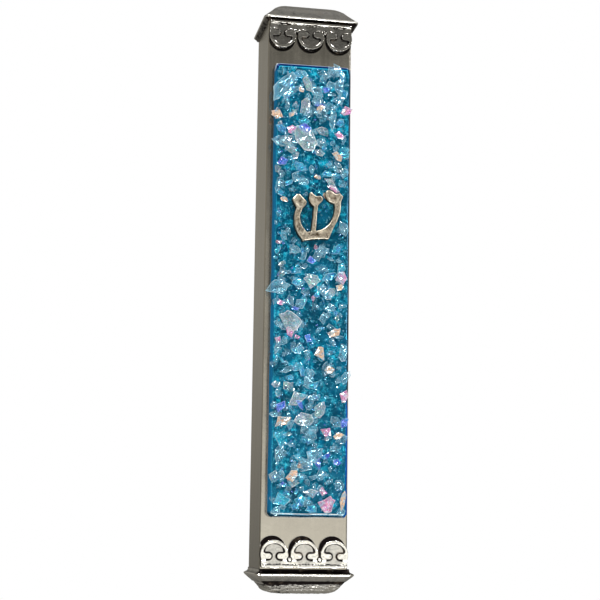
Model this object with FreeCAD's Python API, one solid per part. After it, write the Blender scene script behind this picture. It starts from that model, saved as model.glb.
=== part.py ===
"""Mezuzah case: a slim wall case for a rolled parchment, in millimetres.

Frame: +Z up along the case, +Y towards the wall, origin at the middle of the back plate's wall face.
A T-shaped back plate is fixed to the doorpost. The case hooks over it and lifts off upwards.
"""

import FreeCAD
import Part
import math
import os
import random

Vector = FreeCAD.Vector

# ---- driving dimensions -------------------------------------------------------------------------
scroll_length = 120.0       # height of the parchment roll, the size that the case is made for
case_width = 21.4
case_depth = 16.6           # front face to rear edge
case_length = 136.3         # sheet-metal channel, without its end caps
wall_gap = 0.4              # the case hangs this far off the wall
sheet = 0.8                 # metal thickness
fold_radius = 0.5           # outside of the channel's folded corners
lip_width = 3.7             # rear lips that hook round the back plate

cap_half = 12.2             # half the width of a cap over its rim
cap_offset = 0.3            # the caps sit this far right of the channel's middle
rim_front = 1.0             # how far the rim stands out at the front
rim_corner = 1.5            # radius of the rim's two front corners
spigot_height = 3.0         # tongue of a cap inside the channel
spigot_gap = 0.12           # solder gap round the tongue

plate_thickness = 2.3       # back plate, wall face to inner face
plate_neck = 13.0           # width of the strip between the case's lips
plate_width = 19.0          # width over the two wings
wing_thickness = 1.0
wing_gap = 0.25             # running clearance between a wing and a lip
end_gap = 0.05              # the case's stop rests on the plate through this oil-thin gap
hole_spacing = 90.0         # between the two screw holes
hole_radius = 1.6
countersink_radius = 3.1

panel_width = 19.4
panel_length = 112.4
panel_offset_x = 0.4
panel_offset_z = 0.2
foil_thickness = 0.3        # blue foil glued to the case, under the resin
resin_thickness = 2.5
resin_edge = 1.0            # rounding of the poured resin's rim
chip_depth = 0.8            # how deep the glass chips are set

lobe_pitch = 7.3
lobe_radius = 3.4
top_lobes = 64.2            # lobe centres above the middle of the case
bottom_lobes = 64.7         # and below it
frieze_thickness = 1.45
frieze_relief = 0.5
bar_raise = 0.25
bed_thickness = 0.2         # thin blackened bed under the lobes
top_bed = (0.0, 0.7)        # how far the bed shows past the lobes, across and towards the middle
bottom_bed = (-0.4, 1.0)

letter_x = 1.6
letter_z = 17.2
letter_turn = 6.0
letter_thickness = 1.6

sleeve_radius = 6.2
sleeve_wall = 0.5
sleeve_length = 126.0
roll_radius = 5.3
parchment = 0.3             # thickness of the skin
roll_gap = 0.12             # air between the turns of the roll
plug_flange = 1.5
plug_depth = 2.0
pad_height = 1.2

# ---- derived places -----------------------------------------------------------------------------
rear_y = -wall_gap
front_y = rear_y - case_depth
inner_front_y = front_y + sheet
half_width = case_width / 2
inner_half = half_width - sheet
half_length = case_length / 2
foil_y = front_y - foil_thickness
resin_y = foil_y - resin_thickness
lip_inner_y = rear_y - sheet
spigot_end = half_length - spigot_height
pad_top = -spigot_end + pad_height
scroll_y = (inner_front_y - plate_thickness) / 2
bottom_plate_z = -half_length + 2.0
top_plate_z = spigot_end - end_gap


def box(x0, x1, y0, y1, z0, z1):
    """A box between two corners."""
    return Part.makeBox(x1 - x0, y1 - y0, z1 - z0, Vector(x0, y0, z0))


def closed_face(corners):
    """A flat face with straight edges."""
    return Part.Face(Part.makePolygon(corners + corners[:1]))


def disc(radius, x, z, y, thickness):
    """A round plate lying in the front plane, thickening towards the viewer."""
    return Part.makeCylinder(radius, thickness, Vector(x, y, z), Vector(0, -1, 0))


def front_slab(x0, x1, z0, z1, y, thickness, corner):
    """A plate on the front, its back at y, with rounded corners."""
    slab = box(x0, x1, y - thickness, y, z0, z1)
    upright = [e for e in slab.Edges if abs(e.tangentAt(e.FirstParameter).y) > 0.99]
    return slab.makeFillet(corner, upright)


# ---- the case -----------------------------------------------------------------------------------
def case_channel():
    """Folded sheet-metal channel: front, two sides and two rear lips."""
    outer = box(-half_width, half_width, front_y, rear_y, -half_length, half_length)
    folds = [e for e in outer.Edges if abs(e.tangentAt(e.FirstParameter).z) > 0.99]
    outer = outer.makeFillet(fold_radius, folds)
    hollow = box(-inner_half, inner_half, inner_front_y, lip_inner_y, -half_length, half_length)
    slot_half = half_width - lip_width
    slot = box(-slot_half, slot_half, lip_inner_y, rear_y, -half_length, half_length)
    return outer.cut(hollow).cut(slot)


# Outlines of a cap: inset from the rim's edge, height above the channel's end, corner radius.
TOP_PROFILE = [
    (0.9, 0.0, 1.0),
    (0.1, 0.6, rim_corner),
    (0.0, 0.8, rim_corner),
    (0.0, 1.1, rim_corner),
    (0.15, 1.3, rim_corner),
    (2.1, 3.2, 1.0),
    (3.1, 4.4, 1.0),
    (4.6, 5.5, 1.0),
    (6.4, 6.15, 0.9),
    (8.2, 6.45, 0.8),
]
BOTTOM_PROFILE = [
    (1.1, 0.0, 1.0),
    (1.0, 0.7, 1.0),
    (0.1, 1.15, rim_corner),
    (0.0, 1.3, rim_corner),
    (0.0, 1.65, rim_corner),
    (0.15, 1.85, rim_corner),
    (2.1, 3.3, 1.0),
    (2.45, 3.6, 1.0),
    (3.1, 4.5, 1.0),
    (3.8, 5.25, 1.0),
    (4.5, 5.65, 1.0),
    (6.4, 5.95, 0.9),
    (8.2, 6.05, 0.8),
]


def cap_section(inset, height, corner):
    """One outline of a cap: straight at the rear, rounded at the two front corners."""
    left = cap_offset - cap_half + inset
    right = cap_offset + cap_half - inset
    y0 = front_y - rim_front + inset
    z = half_length + height
    bend = corner * (1 - math.sqrt(0.5))
    right_arc = Part.Arc(
        Vector(right, y0 + corner, z), Vector(right - bend, y0 + bend, z), Vector(right - corner, y0, z)
    )
    left_arc = Part.Arc(
        Vector(left + corner, y0, z), Vector(left + bend, y0 + bend, z), Vector(left, y0 + corner, z)
    )
    edges = [
        Part.makeLine(Vector(left, rear_y, z), Vector(right, rear_y, z)),
        Part.makeLine(Vector(right, rear_y, z), Vector(right, y0 + corner, z)),
        right_arc.toShape(),
        Part.makeLine(Vector(right - corner, y0, z), Vector(left + corner, y0, z)),
        left_arc.toShape(),
        Part.makeLine(Vector(left, y0 + corner, z), Vector(left, rear_y, z)),
    ]
    return Part.Wire(edges)


def cap_body(profile):
    """Cast cap above the channel: a projecting rim, a sloping shoulder, a hip and a low crown."""
    sections = [cap_section(inset, height, corner) for inset, height, corner in profile]
    return Part.makeLoft(sections, True, True)


def upside_down(shape):
    """The same shape at the bottom end, mirrored across the middle of the case."""
    return shape.mirror(Vector(0, 0, 0), Vector(0, 0, 1))


def top_cap():
    """Cap with a tongue inside the channel. The tongue is also the stop on the back plate."""
    tongue_half = inner_half - spigot_gap
    tongue = box(-tongue_half, tongue_half, inner_front_y + spigot_gap, lip_inner_y - spigot_gap,
                 spigot_end, half_length)
    return cap_body(TOP_PROFILE).fuse(tongue).removeSplitter()


def bottom_cap():
    """Cap with a deeper neck, notched at the rear so that the back plate can pass through it."""
    tongue_half = inner_half - spigot_gap
    notch_half = plate_width / 2 + wing_gap
    notch_y = -plate_thickness - 2 * wing_gap
    tongue = box(-tongue_half, tongue_half, inner_front_y + spigot_gap, notch_y,
                 spigot_end, half_length)
    notch = box(-notch_half, notch_half, notch_y, 0, 0, half_length + 10)
    return upside_down(cap_body(BOTTOM_PROFILE).fuse(tongue).cut(notch).removeSplitter())


def frieze(lobe_height, bed_x, bed_z):
    """Cast strip of three round lobes under a cap, each with a mushroom-shaped recess.

    Its thin bed shows past the lobes, shifted by bed_x across and bed_z towards the middle of the case.
    """
    strip_top = half_length - 0.25
    strip_half = half_width - 0.2
    plate = front_slab(-strip_half, strip_half, lobe_height + 0.6, strip_top,
                       front_y, frieze_thickness, 0.6)
    lobes = [index * lobe_pitch for index in (-1, 0, 1)]
    for x in lobes:
        plate = plate.fuse(disc(lobe_radius, x, lobe_height, front_y, frieze_thickness))
    recess_y = front_y - frieze_thickness + frieze_relief
    for x in lobes:
        plate = plate.cut(lobe_recess(x, lobe_height, recess_y))
    for x in (-lobe_pitch / 2, lobe_pitch / 2):
        plate = plate.fuse(disc(0.6, x, lobe_height + 1.6, front_y, frieze_thickness + bar_raise))
    bar = front_slab(0.9 - half_width, half_width - 0.9, strip_top - 0.75, strip_top - 0.1,
                     front_y - frieze_thickness + frieze_relief, frieze_relief + bar_raise, 0.3)
    edges = box(0.1 - half_width, half_width - 0.1, front_y - bed_thickness, front_y, 0, half_length)
    for x in lobes:
        bed = disc(lobe_radius, x + bed_x, lobe_height - bed_z, front_y, bed_thickness)
        plate = plate.fuse(bed.common(edges))
    return plate.fuse(bar).removeSplitter()


def lobe_recess(x, lobe_height, y):
    """Cutter for one recess: a half-round dome on a stem that flares to the border."""
    depth = 2 * frieze_relief
    dome = disc(2.35, x, lobe_height, y, depth)
    dome = dome.cut(box(x - 3, x + 3, y - depth, y, lobe_height, lobe_height + 3))
    stem = closed_face([
        Vector(x - 0.55, y, lobe_height - 0.5),
        Vector(x + 0.55, y, lobe_height - 0.5),
        Vector(x + 0.5, y, lobe_height + 1.3),
        Vector(x + 1.7, y, lobe_height + 2.3),
        Vector(x - 1.7, y, lobe_height + 2.3),
        Vector(x - 0.5, y, lobe_height + 1.3),
    ])
    return dome.fuse(stem.extrude(Vector(0, -depth, 0)))


# ---- the panel ----------------------------------------------------------------------------------
def panel_blank(y, thickness):
    """The panel's outline as a plate."""
    x0 = panel_offset_x - panel_width / 2
    z0 = panel_offset_z - panel_length / 2
    return front_slab(x0, x0 + panel_width, z0, z0 + panel_length, y, thickness, 1.2)


def resin_blank():
    """Poured resin slab with a rounded rim, before the chips are set in."""
    slab = panel_blank(foil_y, resin_thickness)
    rim = [e for e in slab.Edges if abs(e.CenterOfMass.y - resin_y) < 0.01]
    return slab.makeFillet(resin_edge, rim)


def shard(x, z, length, width, turn, rise, sides, draw):
    """A broken piece of glass: an uneven flat-bottomed polygon whose top is smaller and off centre."""
    corners = []
    for index in range(sides):
        angle = 2 * math.pi * (index + draw.uniform(-0.25, 0.25)) / sides
        reach = draw.uniform(0.86, 1.0)
        corners.append((reach * length / 2 * math.cos(angle), reach * width / 2 * math.sin(angle)))
    cosine = math.cos(math.radians(turn))
    sine = math.sin(math.radians(turn))
    shrink = draw.uniform(0.45, 0.65)
    rings = []
    for scale, y in ((1.0, resin_y + chip_depth), (shrink, resin_y - rise)):
        ring = [
            Vector(x + scale * (u * cosine - v * sine), y, z + scale * (u * sine + v * cosine))
            for u, v in corners
        ]
        rings.append(Part.makePolygon(ring + ring[:1]))
    return Part.makeLoft(rings, True, True)


# Larger chips by colour: place across and up the panel, length, width, turn in degrees, rise.
CHIPS = {
    "clear_glass_chips": [
        (-6.4, 50.2, 8.4, 2.2, 58, 1.2), (3.4, 54.0, 4.2, 2.0, 15, 1.0), (7.2, 49.6, 5.4, 1.8, 82, 1.4),
        (5.3, 42.0, 4.4, 1.5, 86, 1.2), (0.6, 44.6, 2.8, 2.6, 0, 1.0), (-7.0, -1.0, 4.4, 2.6, 8, 1.1),
        (-2.3, -5.0, 2.8, 2.0, 30, 0.9), (3.9, -2.2, 3.8, 1.5, -48, 1.1), (8.2, -16.1, 3.2, 1.4, 88, 1.0),
        (1.6, -41.4, 5.6, 2.0, 35, 1.3), (7.9, -47.9, 2.6, 1.9, 70, 1.0), (7.9, -54.0, 1.6, 1.2, 0, 0.5),
        (-8.0, 25.0, 3.2, 1.4, 75, 0.8), (8.1, 29.0, 2.4, 1.6, 60, 0.8), (-5.0, -21.0, 3.0, 1.4, 20, 0.8),
    ],
    "aqua_glass_chips": [
        (3.1, 50.3, 2.2, 1.6, 20, 0.8), (-1.9, 40.9, 2.2, 1.5, 10, 0.8), (-3.0, 0.9, 2.4, 1.8, 30, 0.9),
        (-6.8, -37.3, 3.8, 2.8, 65, 0.9), (8.0, 33.5, 2.0, 1.5, 0, 0.7), (-3.2, 30.5, 2.6, 1.8, -30, 0.8),
        (1.5, -24.4, 2.6, 1.6, 40, 0.7), (-6.0, -52.0, 3.4, 2.4, 15, 0.8), (-8.0, 8.5, 2.4, 1.5, 80, 0.7),
        (4.0, 28.6, 2.8, 1.6, 15, 0.7),
    ],
    "rose_glass_chips": [
        (8.2, 44.2, 2.2, 1.5, 35, 0.9), (7.5, 1.8, 3.6, 2.8, 60, 1.0), (-7.0, -4.6, 2.0, 1.2, 20, 0.7),
        (5.2, -53.2, 3.4, 2.2, 25, 1.1), (4.7, -35.4, 2.8, 1.8, -40, 0.9), (3.9, -49.6, 1.6, 1.3, 0, 0.9),
        (8.1, -26.8, 2.6, 1.5, 80, 0.9),
    ],
    "amber_glass_chips": [
        (-8.0, 42.4, 2.4, 1.8, -20, 1.0), (-5.1, 43.2, 1.8, 1.2, 60, 0.8), (6.2, -11.3, 2.8, 2.0, 30, 0.9),
        (2.9, -16.8, 3.0, 2.2, -60, 1.0), (5.2, -20.4, 2.2, 1.7, 20, 0.9), (-3.7, -46.3, 2.4, 1.6, 50, 0.9),
        (8.1, -51.2, 2.2, 1.2, 85, 0.9), (7.2, -38.5, 2.4, 1.5, 20, 0.8),
    ],
    "opal_glass_chips": [
        (-1.3, 36.6, 5.4, 3.2, -60, 1.1), (-6.4, 36.4, 4.0, 2.4, 25, 1.0), (0.6, 1.9, 3.0, 2.6, 0, 1.0),
        (-5.0, -9.4, 5.4, 3.4, -45, 1.2), (-2.3, -27.4, 4.6, 2.8, 20, 1.1), (3.4, -30.0, 3.0, 2.0, 70, 1.0),
        (-1.0, -33.2, 3.2, 2.2, 0, 1.0), (0.6, -50.6, 2.8, 1.8, 10, 0.9), (-0.8, 50.0, 4.6, 2.0, -58, 1.1),
    ],
    "violet_glass_chips": [
        (8.0, -33.0, 2.4, 1.6, 75, 0.9), (-7.2, 30.8, 2.2, 1.6, 30, 0.8), (0.4, 6.6, 2.4, 1.6, 10, 0.8),
        (-6.9, -29.6, 2.6, 1.6, 60, 0.8), (0.0, -13.0, 2.4, 1.5, -30, 0.7), (-4.2, 48.0, 1.4, 1.2, 0, 0.8),
    ],
}


def glass_chips(name, draw):
    """All the larger chips of one colour, as separate solids."""
    return [shard(x, z, length, width, turn, rise, 6, draw) for x, z, length, width, turn, rise in CHIPS[name]]


def clear_of_chips(x, z, margin):
    """True where a granule stands clear of every larger chip and of the letter."""
    if abs(x - letter_x) < 7.4 and abs(z - letter_z) < 7.2:
        return False
    for chips in CHIPS.values():
        for cx, cz, length, width, turn, _ in chips:
            along = math.cos(math.radians(turn)) * (x - cx) + math.sin(math.radians(turn)) * (z - cz)
            across = math.cos(math.radians(turn)) * (z - cz) - math.sin(math.radians(turn)) * (x - cx)
            if abs(along) < length / 2 + margin and abs(across) < width / 2 + margin:
                return False
    return True


def glass_granules(draw):
    """Small clear granules on a loose grid between the larger chips."""
    step_x = 3.4
    step_z = 4.2
    columns = 5
    rows = 25
    size = 1.1
    granules = []
    for row in range(rows):
        for column in range(columns):
            x = panel_offset_x + (column - (columns - 1) / 2) * step_x + draw.uniform(-0.5, 0.5)
            z = panel_offset_z + (row - (rows - 1) / 2) * step_z + draw.uniform(-0.7, 0.7)
            turn = draw.uniform(0, 90)
            if clear_of_chips(x, z, 0.85 * size):
                granules.append(shard(x, z, size, size, turn, 0.5, 5, draw))
    return granules


def letter_outline():
    """The letter shin, upright, about its own centre: straight runs and three-point arcs."""
    start = (-5.9, 4.6)
    runs = [
        ((-4.6, 5.8),), ((-3.9, 5.7),), ((-2.4, 3.7),), ((-2.7, 2.9),), ((-3.5, 2.2),),
        ((-4.45, -0.8), (-3.1, -3.9)), ((-1.9, -3.8),), ((-0.6, 2.5),),
        ((-1.6, 3.9), (-1.4, 5.6)), ((-1.0, 6.0), (-0.6, 5.6)), ((0.2, 4.9),), ((1.2, 5.0),),
        ((1.75, 4.3), (1.3, 3.5)), ((0.3, 2.5),), ((-0.9, -3.8),), ((0.7, -3.5),),
        ((3.3, -1.5), (4.6, 1.9)), ((4.5, 2.9),), ((2.9, 3.9), (2.6, 5.7)), ((3.2, 6.3), (4.1, 6.0)),
        ((5.0, 5.3),), ((6.2, 5.4),), ((6.8, 4.6),), ((6.1, 2.9),), ((5.6, 0.2), (3.9, -2.9)),
        ((2.2, -5.9),), ((-1.0, -5.7), (-4.2, -6.0)), ((-5.4, -3.8),), ((-5.9, -0.8), (-5.0, 2.3)),
    ]
    edges = []
    here = Vector(start[0], 0, start[1])
    for run in runs + [(start,)]:
        there = Vector(run[-1][0], 0, run[-1][1])
        if len(run) == 2:
            edges.append(Part.Arc(here, Vector(run[0][0], 0, run[0][1]), there).toShape())
        else:
            edges.append(Part.makeLine(here, there))
        here = there
    return Part.Wire(edges)


def shin_letter():
    """Cast letter glued to the resin, turned slightly."""
    letter = Part.Face(letter_outline()).extrude(Vector(0, -letter_thickness, 0))
    letter.rotate(Vector(0, 0, 0), Vector(0, 1, 0), -letter_turn)
    letter.translate(Vector(letter_x, resin_y, letter_z))
    return letter


# ---- behind the case ----------------------------------------------------------------------------
def back_plate():
    """T-section strip with two countersunk holes and a tapered lead-in at the top of its wings."""
    neck = box(-plate_neck / 2, plate_neck / 2, -plate_thickness, 0, bottom_plate_z, top_plate_z)
    wing_y = lip_inner_y - wing_gap
    half = plate_width / 2
    lead = 1.5
    wings = closed_face([
        Vector(-half, wing_y, bottom_plate_z),
        Vector(half, wing_y, bottom_plate_z),
        Vector(half, wing_y, top_plate_z - lead),
        Vector(half - lead, wing_y, top_plate_z),
        Vector(lead - half, wing_y, top_plate_z),
        Vector(-half, wing_y, top_plate_z - lead),
    ]).extrude(Vector(0, -wing_thickness, 0))
    plate = neck.fuse(wings).removeSplitter()
    sink = countersink_radius - hole_radius
    for z in (-hole_spacing / 2, hole_spacing / 2):
        plate = plate.cut(Part.makeCylinder(hole_radius, 10, Vector(0, 5, z), Vector(0, -1, 0)))
        plate = plate.cut(Part.makeCone(hole_radius, countersink_radius, sink,
                                        Vector(0, sink - plate_thickness, z), Vector(0, -1, 0)))
    return plate


# ---- inside the case ----------------------------------------------------------------------------
def parchment_scroll():
    """Parchment wound into a spiral roll."""
    pitch = parchment + roll_gap
    turns = 4.6
    steps_per_turn = 24
    steps = int(turns * steps_per_turn)
    inner = []
    outer = []
    for index in range(steps + 1):
        angle = 2 * math.pi * index / steps_per_turn
        radius = roll_radius - parchment - pitch * (turns - index / steps_per_turn)
        across = Vector(math.cos(angle), math.sin(angle), 0)
        centre = Vector(0, scroll_y, roll_bottom())
        inner.append(centre + across * radius)
        outer.append(centre + across * (radius + parchment))
    sides = []
    for points in (inner, outer):
        curve = Part.BSplineCurve()
        curve.interpolate(points)
        sides.append(curve.toShape())
    ends = [Part.makeLine(outer[0], inner[0]), Part.makeLine(inner[-1], outer[-1])]
    strip = Part.Face(Part.Wire([ends[0], sides[0], ends[1], sides[1]]))
    return strip.extrude(Vector(0, 0, scroll_length))


def sleeve_bottom():
    """Lower end of the clear sleeve."""
    return pad_top + plug_flange + end_gap


def roll_bottom():
    """Lower end of the parchment, standing on the lower plug."""
    return sleeve_bottom() + plug_depth + end_gap


def scroll_sleeve():
    """Clear tube round the parchment."""
    base = Vector(0, scroll_y, sleeve_bottom())
    tube = Part.makeCylinder(sleeve_radius, sleeve_length, base)
    return tube.cut(Part.makeCylinder(sleeve_radius - sleeve_wall, sleeve_length, base))


def sleeve_plug(z, inwards):
    """Push-in plug: a flange outside the sleeve's end and a hollow skirt inside it."""
    base = Vector(0, scroll_y, z)
    flange = Part.makeCylinder(sleeve_radius, plug_flange, base, Vector(0, 0, -inwards))
    skirt_radius = sleeve_radius - sleeve_wall - 0.05
    skirt = Part.makeCylinder(skirt_radius, plug_depth, base, Vector(0, 0, inwards))
    return flange.fuse(skirt).removeSplitter()


def cushion_pad():
    """Felt disc on the bottom cap, under the scroll."""
    return Part.makeCylinder(sleeve_radius, pad_height - end_gap, Vector(0, scroll_y, -spigot_end))


def main():
    draw = random.Random(18)
    groups = {name: glass_chips(name, draw) for name in CHIPS}
    groups["clear_glass_granules"] = glass_granules(draw)
    pockets = [solid for solids in groups.values() for solid in solids]
    parts = {
        "back_plate": back_plate(),
        "case_channel": case_channel(),
        "top_cap": top_cap(),
        "bottom_cap": bottom_cap(),
        "top_frieze": frieze(top_lobes, *top_bed),
        "bottom_frieze": upside_down(frieze(bottom_lobes, *bottom_bed)),
        "panel_foil": panel_blank(front_y, foil_thickness),
        "resin_panel": resin_blank().cut(pockets),
        "shin_letter": shin_letter(),
        "parchment_scroll": parchment_scroll(),
        "scroll_sleeve": scroll_sleeve(),
        "sleeve_bottom_plug": sleeve_plug(sleeve_bottom() - end_gap, 1),
        "sleeve_top_plug": sleeve_plug(sleeve_bottom() + sleeve_length + end_gap, -1),
        "felt_pad": cushion_pad(),
    }
    for name, solids in groups.items():
        parts[name] = Part.makeCompound(solids)
    os.makedirs("parts", exist_ok=True)
    for name, shape in parts.items():
        print(name, len(shape.Solids), "solids", round(shape.Volume, 1), "mm3", shape.isValid())
        shape.exportStep("parts/" + name + ".step")


main()
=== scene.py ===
"""Looks of the mezuzah case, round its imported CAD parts. Lengths are in mm unless a comment says metres."""

import math
import random

import bmesh
import bpy
import numpy as np
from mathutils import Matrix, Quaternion, Vector


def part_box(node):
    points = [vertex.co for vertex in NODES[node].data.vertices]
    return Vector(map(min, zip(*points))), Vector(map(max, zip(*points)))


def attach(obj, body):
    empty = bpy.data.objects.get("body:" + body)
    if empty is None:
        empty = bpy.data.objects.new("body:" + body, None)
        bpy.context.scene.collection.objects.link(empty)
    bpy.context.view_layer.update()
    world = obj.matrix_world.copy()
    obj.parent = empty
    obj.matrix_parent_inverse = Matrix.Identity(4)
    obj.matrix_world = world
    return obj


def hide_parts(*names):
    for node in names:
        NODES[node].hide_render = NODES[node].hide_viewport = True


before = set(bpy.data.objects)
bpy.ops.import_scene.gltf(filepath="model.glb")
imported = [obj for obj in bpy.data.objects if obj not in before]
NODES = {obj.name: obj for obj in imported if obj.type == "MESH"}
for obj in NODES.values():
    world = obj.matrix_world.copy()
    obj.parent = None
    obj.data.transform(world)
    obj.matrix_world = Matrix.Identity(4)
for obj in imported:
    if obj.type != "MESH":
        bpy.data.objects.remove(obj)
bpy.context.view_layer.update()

MM = 0.001

# ---- sizes taken from the frame, in mm ----


def box_mm(node):
    """Lowest and highest corner of a CAD node, in mm."""
    low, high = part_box(node)
    return low / MM, high / MM


channel_low, channel_high = box_mm("case_channel")
cap_low, cap_high = box_mm("top_cap")
slab_low, slab_high = box_mm("resin_panel")
letter_low, letter_high = box_mm("shin_letter")

half_width = channel_high.x
half_length = channel_high.z
front_y = channel_low.y
rear_y = channel_high.y
resin_y = slab_low.y
rim_front = front_y - cap_low.y

# Faces of a box whose corners are numbered x first, then y, then z.
BOX_FACES = ((0, 1, 3, 2), (4, 6, 7, 5), (0, 4, 5, 1), (2, 3, 7, 6), (0, 2, 6, 4), (1, 5, 7, 3))

# Painted shade: every relief's side walls are painted black.
WALL_SHADE_TONE = -0.4          # the black of a relief's side walls

# ---- small helpers ----


def box_corners(low, high):
    """The eight corners of a box given in mm, in metres, in the order of BOX_FACES."""
    (x0, y0, z0), (x1, y1, z1) = low, high
    return [(x * MM, y * MM, z * MM) for x in (x0, x1) for y in (y0, y1) for z in (z0, z1)]


def smooth_step(low, high, value):
    """0 below low, 1 above high, smooth between them."""
    t = np.clip((value - low) / (high - low), 0.0, 1.0)
    return t * t * (3 - 2 * t)


def lattice_noise(u, v, cell, seed):
    """Smooth random values from -1 to 1 over a plane, with features about one cell wide."""
    table = np.random.default_rng(seed).uniform(-1, 1, (97, 97))
    x = u / cell
    y = v / cell
    i = np.floor(x).astype(int)
    j = np.floor(y).astype(int)
    s = x - i
    t = y - j
    s = s * s * (3 - 2 * s)
    t = t * t * (3 - 2 * t)
    low = table[i % 97, j % 97] * (1 - s) + table[(i + 1) % 97, j % 97] * s
    high = table[i % 97, (j + 1) % 97] * (1 - s) + table[(i + 1) % 97, (j + 1) % 97] * s
    return low * (1 - t) + high * t


def piece(name, points_mm, faces, material, body, replaced=(), smooth=True, tone=None):
    """A new piece from points in mm, riding on a body, with an optional tone value for each point."""
    mesh = bpy.data.meshes.new(name)
    mesh.from_pydata([tuple(p) for p in np.asarray(points_mm, float) * MM], [], faces)
    mesh.validate()
    mesh.polygons.foreach_set("use_smooth", [smooth] * len(mesh.polygons))
    if tone is not None:
        layer = mesh.attributes.new("tone", "FLOAT", "POINT")
        layer.data.foreach_set("value", np.asarray(tone, np.float32))
    mesh.materials.append(material)
    made = bpy.data.objects.new(name, mesh)
    bpy.context.scene.collection.objects.link(made)
    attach(made, body)
    if replaced:
        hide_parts(*replaced)
    return made


def circle_distance(u, v, cu, cv, radius):
    """Distance to a circle, negative inside it."""
    return np.hypot(u - cu, v - cv) - radius


def box_distance(u, v, u0, u1, v0, v1, corner=0.0):
    """Distance to a box with rounded corners, negative inside it."""
    du = np.abs(u - (u0 + u1) / 2) - (u1 - u0) / 2 + corner
    dv = np.abs(v - (v0 + v1) / 2) - (v1 - v0) / 2 + corner
    outside = np.hypot(np.maximum(du, 0), np.maximum(dv, 0))
    return outside + np.minimum(np.maximum(du, dv), 0) - corner


def outline_distance(u, v, outline):
    """Distance to a closed outline, negative inside it."""
    nearest = np.full(u.shape, 1e9)
    inside = np.zeros(u.shape, bool)
    for (au, av), (bu, bv) in zip(outline, outline[1:] + outline[:1]):
        du = bu - au
        dv = bv - av
        t = np.clip(((u - au) * du + (v - av) * dv) / max(du * du + dv * dv, 1e-12), 0, 1)
        nearest = np.minimum(nearest, np.hypot(u - au - t * du, v - av - t * dv))
        crosses = (av > v) != (bv > v)
        if abs(dv) > 1e-12:
            inside ^= crosses & (u < au + du * (v - av) / dv)
    return np.where(inside, -nearest, nearest)


def relief(name, distance, height, area, step, place, material, node):
    """A plate on the case with a modelled front, in place of a CAD node. distance(u, v) is its outline,
    height(u, v, depth) how far it stands out and its tone, and place(u, v, height) its point in mm. Points
    near the outline are moved onto it."""
    u0, u1, v0, v1 = area
    columns = int(math.ceil((u1 - u0) / step)) + 1
    rows = int(math.ceil((v1 - v0) / step)) + 1
    u, v = np.meshgrid(np.linspace(u0, u1, columns), np.linspace(v0, v1, rows))
    d = distance(u, v)
    nudge = step * 0.1
    grad_u = (distance(u + nudge, v) - distance(u - nudge, v)) / (2 * nudge)
    grad_v = (distance(u, v + nudge) - distance(u, v - nudge)) / (2 * nudge)
    steep = np.maximum(np.hypot(grad_u, grad_v), 0.5)
    near = np.abs(d) < 0.55 * step
    u = np.where(near, u - d * grad_u / steep**2, u)
    v = np.where(near, v - d * grad_v / steep**2, v)
    depth = np.where(near, 0.0, np.maximum(-d, 0.0))
    rise, tone = height(u, v, depth)
    kept = d < 0.55 * step
    quads = kept[:-1, :-1] & kept[1:, :-1] & kept[:-1, 1:] & kept[1:, 1:]
    r, c = np.nonzero(quads)
    corners = np.stack([(r, c), (r, c + 1), (r + 1, c + 1), (r + 1, c)], 0)
    corners = (corners[:, 0] * columns + corners[:, 1]).T
    used = np.unique(corners)
    count = len(used)
    corners = np.searchsorted(used, corners)
    u, v, rise, tone = (values.ravel()[used] for values in (u, v, rise, tone))
    front = place(u, v, rise)
    back = place(u, v, np.zeros(count))
    faces = [tuple(q) for q in corners] + [tuple(q) for q in corners[:, ::-1] + count]
    edges = {(a, b) for q in corners.tolist() for a, b in zip(q, q[1:] + q[:1])}
    rim = sorted(edge for edge in edges if (edge[1], edge[0]) not in edges)
    round_rim = sorted({point for edge in rim for point in edge})
    spot = {point: 2 * count + index for index, point in enumerate(round_rim)}
    turn = len(round_rim)
    faces += [(spot[b], spot[a], spot[a] + turn, spot[b] + turn) for a, b in rim]
    points = np.concatenate([front, back, front[round_rim], back[round_rim]])
    # The side walls take the painted shade tone.
    tones = np.concatenate([tone, 0 * tone, np.full(2 * turn, WALL_SHADE_TONE)])
    return piece(name, points, faces, material, "case", (node,), tone=tones)


# ---- materials ----


def fill_ramp(ramp, stops):
    """Gives a colour ramp its (position, colour) stops, which come in rising order."""
    ramp.elements.remove(ramp.elements[-1])
    ramp.elements[0].position = stops[0][0]
    ramp.elements[0].color = (*stops[0][1], 1)
    for position, colour in stops[1:]:
        ramp.elements.new(position).color = (*colour, 1)


def feed(socket, value):
    """Links a node's input to another node's output, or sets it to a value."""
    if isinstance(value, bpy.types.NodeSocket):
        socket.id_data.links.new(value, socket)
    else:
        socket.default_value = value


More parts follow.
